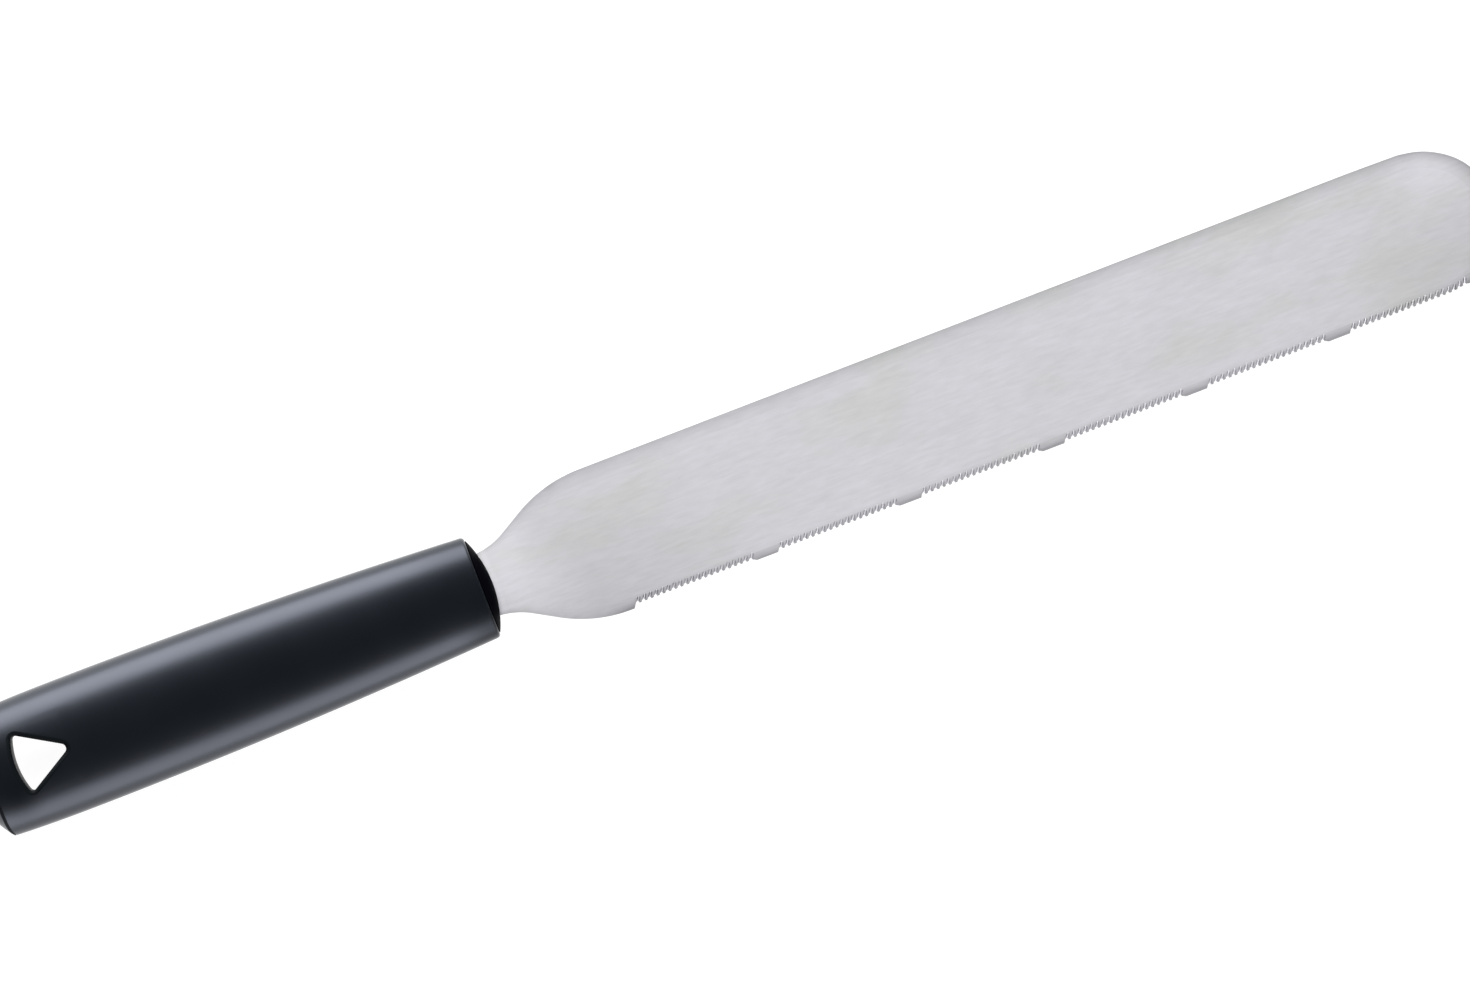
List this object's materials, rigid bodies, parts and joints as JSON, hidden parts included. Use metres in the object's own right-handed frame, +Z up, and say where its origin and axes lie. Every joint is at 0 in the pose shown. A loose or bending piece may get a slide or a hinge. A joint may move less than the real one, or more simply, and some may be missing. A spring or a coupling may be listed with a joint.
{
  "type": "toothed icing spatula",
  "caption": "Straight round-tipped steel spatula with a toothed lower edge and a black oval handle with a triangular hanging hole, for levelling, slicing and icing cakes.",
  "frame": {"origin": "on the surface below the tool lying flat, under the middle of its length and width, level with the lowest point of the handle's belly", "axes": "+X from the butt of the handle to the tip of the blade, +Y from the toothed edge to the spine, +Z up out of the blade's ground face"},
  "size_m": [0.3808, 0.035, 0.019],
  "materials": {
    "blade_steel": "stainless steel, satin ground with a fine lengthwise grain",
    "handle_black": "moulded polypropylene, satin with a fine texture",
    "cap_black": "moulded polypropylene, smooth satin",
    "core_grey": "moulded polypropylene, as moulded, not seen"
  },
  "bodies": {
    "root": {"blade": "blade_steel", "handle_shell": "handle_black", "front_cap": "cap_black", "end_cap": "cap_black", "tang_core_upper": "core_grey", "tang_core_lower": "core_grey"}
  },
  "joints": []
}
